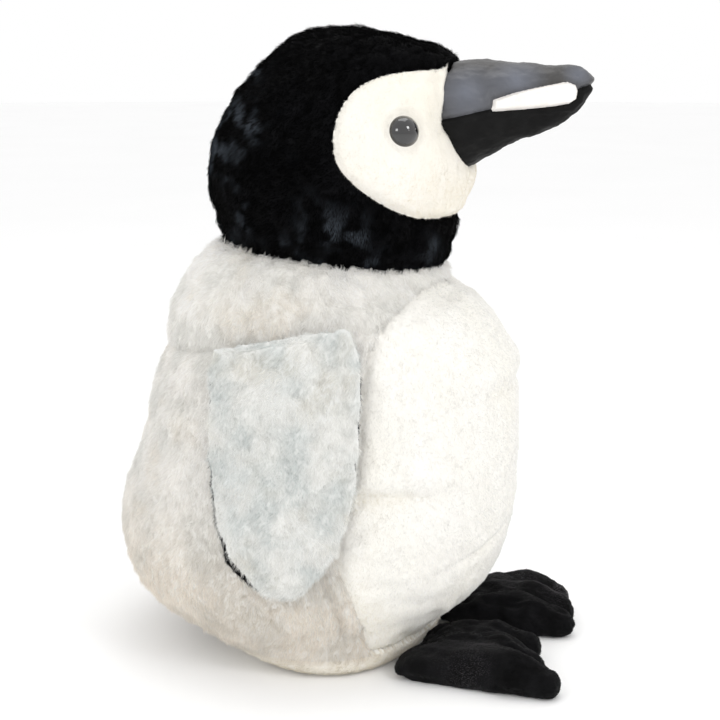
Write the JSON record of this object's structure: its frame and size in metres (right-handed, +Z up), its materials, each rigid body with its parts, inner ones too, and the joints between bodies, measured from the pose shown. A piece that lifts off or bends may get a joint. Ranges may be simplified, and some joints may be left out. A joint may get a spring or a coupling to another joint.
{
  "type": "plush penguin",
  "caption": "Standing plush penguin chick with hooded head, leather beak, safety eyes, hanging flippers and padded feet.",
  "frame": {"origin": "centre of the toy's plan outline, on the floor it stands on", "axes": "+Z up; the face looks along -Y; the toy's left side is +X"},
  "size_m": [0.3188, 0.379, 0.4955],
  "materials": {
    "black_plush": "dense crushed plush pile",
    "cream_velour": "very short velour",
    "grey_plush": "combed mottled plush pile",
    "white_plush": "short dense plush pile",
    "flipper_plush": "mottled short plush pile",
    "black_lining": "short black plush",
    "black_velboa": "short black velboa",
    "black_leather": "satin faux leather",
    "white_fleece": "short fleece",
    "eye_plastic": "polished",
    "washer_plastic": "moulded",
    "fibre": "loose polyester fibre",
    "cotton": "plain woven cotton",
    "pellet_plastic": "moulded granules"
  },
  "bodies": {
    "torso": {"hood_right": "black_plush", "hood_left": "black_plush", "face_right": "cream_velour", "face_left": "cream_velour", "beak_upper": "black_leather", "beak_lower": "black_leather", "beak_patch_right": "white_fleece", "beak_patch_left": "white_fleece", "beak_stuffing": "fibre", "eye_right": "eye_plastic", "eye_left": "eye_plastic", "eye_washer_right": "washer_plastic", "eye_washer_left": "washer_plastic", "head_stuffing": "fibre", "yoke_right": "grey_plush", "yoke_left": "grey_plush", "side_right": "grey_plush", "side_left": "grey_plush", "front_strip_right": "grey_plush", "front_strip_left": "grey_plush", "belly": "white_plush", "base": "white_plush", "body_stuffing": "fibre", "pellet_bag": "cotton", "pellets": "pellet_plastic"},
    "flipper_right": {"flipper_seam_right": "flipper_plush", "flipper_outer_right": "flipper_plush", "flipper_batting_right": "fibre", "flipper_lining_right": "black_lining"},
    "foot_right": {"ankle_seam_right": "black_velboa", "foot_top_right": "black_velboa", "foot_sole_right": "black_velboa", "foot_stuffing_right": "fibre"},
    "flipper_left": {"flipper_seam_left": "flipper_plush", "flipper_outer_left": "flipper_plush", "flipper_batting_left": "fibre", "flipper_lining_left": "black_lining"},
    "foot_left": {"ankle_seam_left": "black_velboa", "foot_top_left": "black_velboa", "foot_sole_left": "black_velboa", "foot_stuffing_left": "fibre"}
  },
  "joints": [
    {"name": "flipper_right_lift", "type": "hinge", "parent": "torso", "child": "flipper_right", "pos_m": [-0.12, 0.0195, 0.268], "axis": [0, 0.9824, -0.1867], "range_deg": [0, 100]},
    {"name": "flipper_left_lift", "type": "hinge", "parent": "torso", "child": "flipper_left", "pos_m": [0.12, 0.0195, 0.268], "axis": [0, -0.9824, 0.1867], "range_deg": [0, 100]},
    {"name": "foot_right_flex", "type": "hinge", "parent": "torso", "child": "foot_right", "pos_m": [-0.058, -0.076, 0.007], "axis": [-1, 0, 0], "range_deg": [-30, 15]},
    {"name": "foot_left_flex", "type": "hinge", "parent": "torso", "child": "foot_left", "pos_m": [0.058, -0.076, 0.007], "axis": [-1, 0, 0], "range_deg": [-30, 15]}
  ]
}
